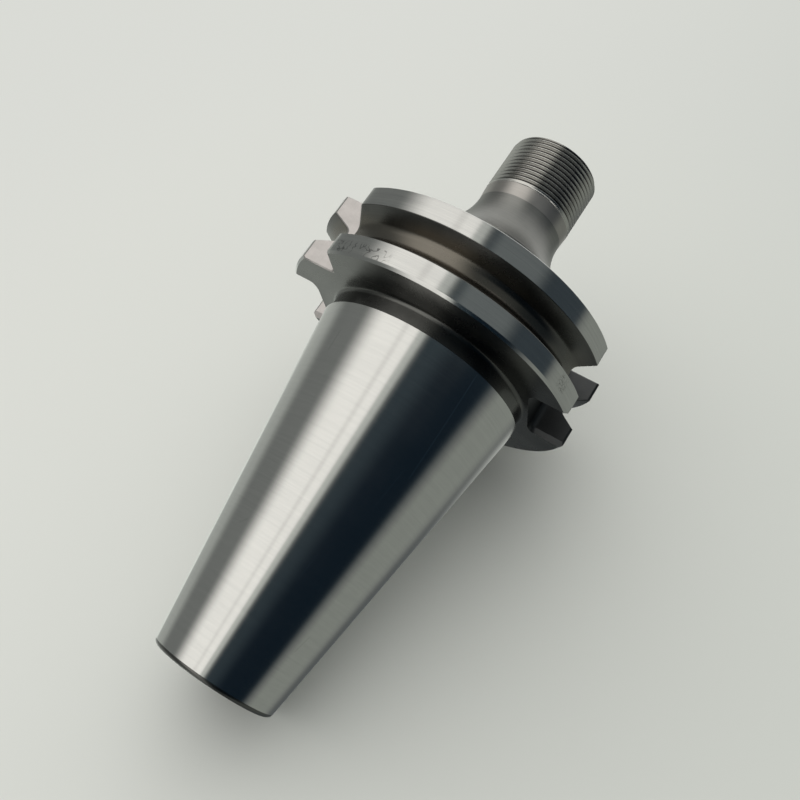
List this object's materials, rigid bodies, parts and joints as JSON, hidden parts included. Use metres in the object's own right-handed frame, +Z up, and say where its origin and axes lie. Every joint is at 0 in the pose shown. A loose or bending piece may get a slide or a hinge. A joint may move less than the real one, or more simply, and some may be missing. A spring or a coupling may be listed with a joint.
{
  "type": "collet chuck holder",
  "caption": "Collet chuck holder: ground steep taper shank, V-grooved gripper flange with drive slots, flared neck and a fine-threaded nose for a collet nut.",
  "frame": {"origin": "on the spindle axis at the face of the taper's small end, which is the foot the holder stands on", "axes": "+Z up along the spindle axis from the small end of the taper to the threaded nose; +X through the middle of the deeper drive slot; +Y completes the right-handed frame, and the corner notch lies between -X and -Y"},
  "size_m": [0.0612, 0.0636, 0.1233],
  "materials": {
    "holder_steel": "ground"
  },
  "bodies": {
    "root": {"holder_body": "holder_steel"}
  },
  "joints": []
}
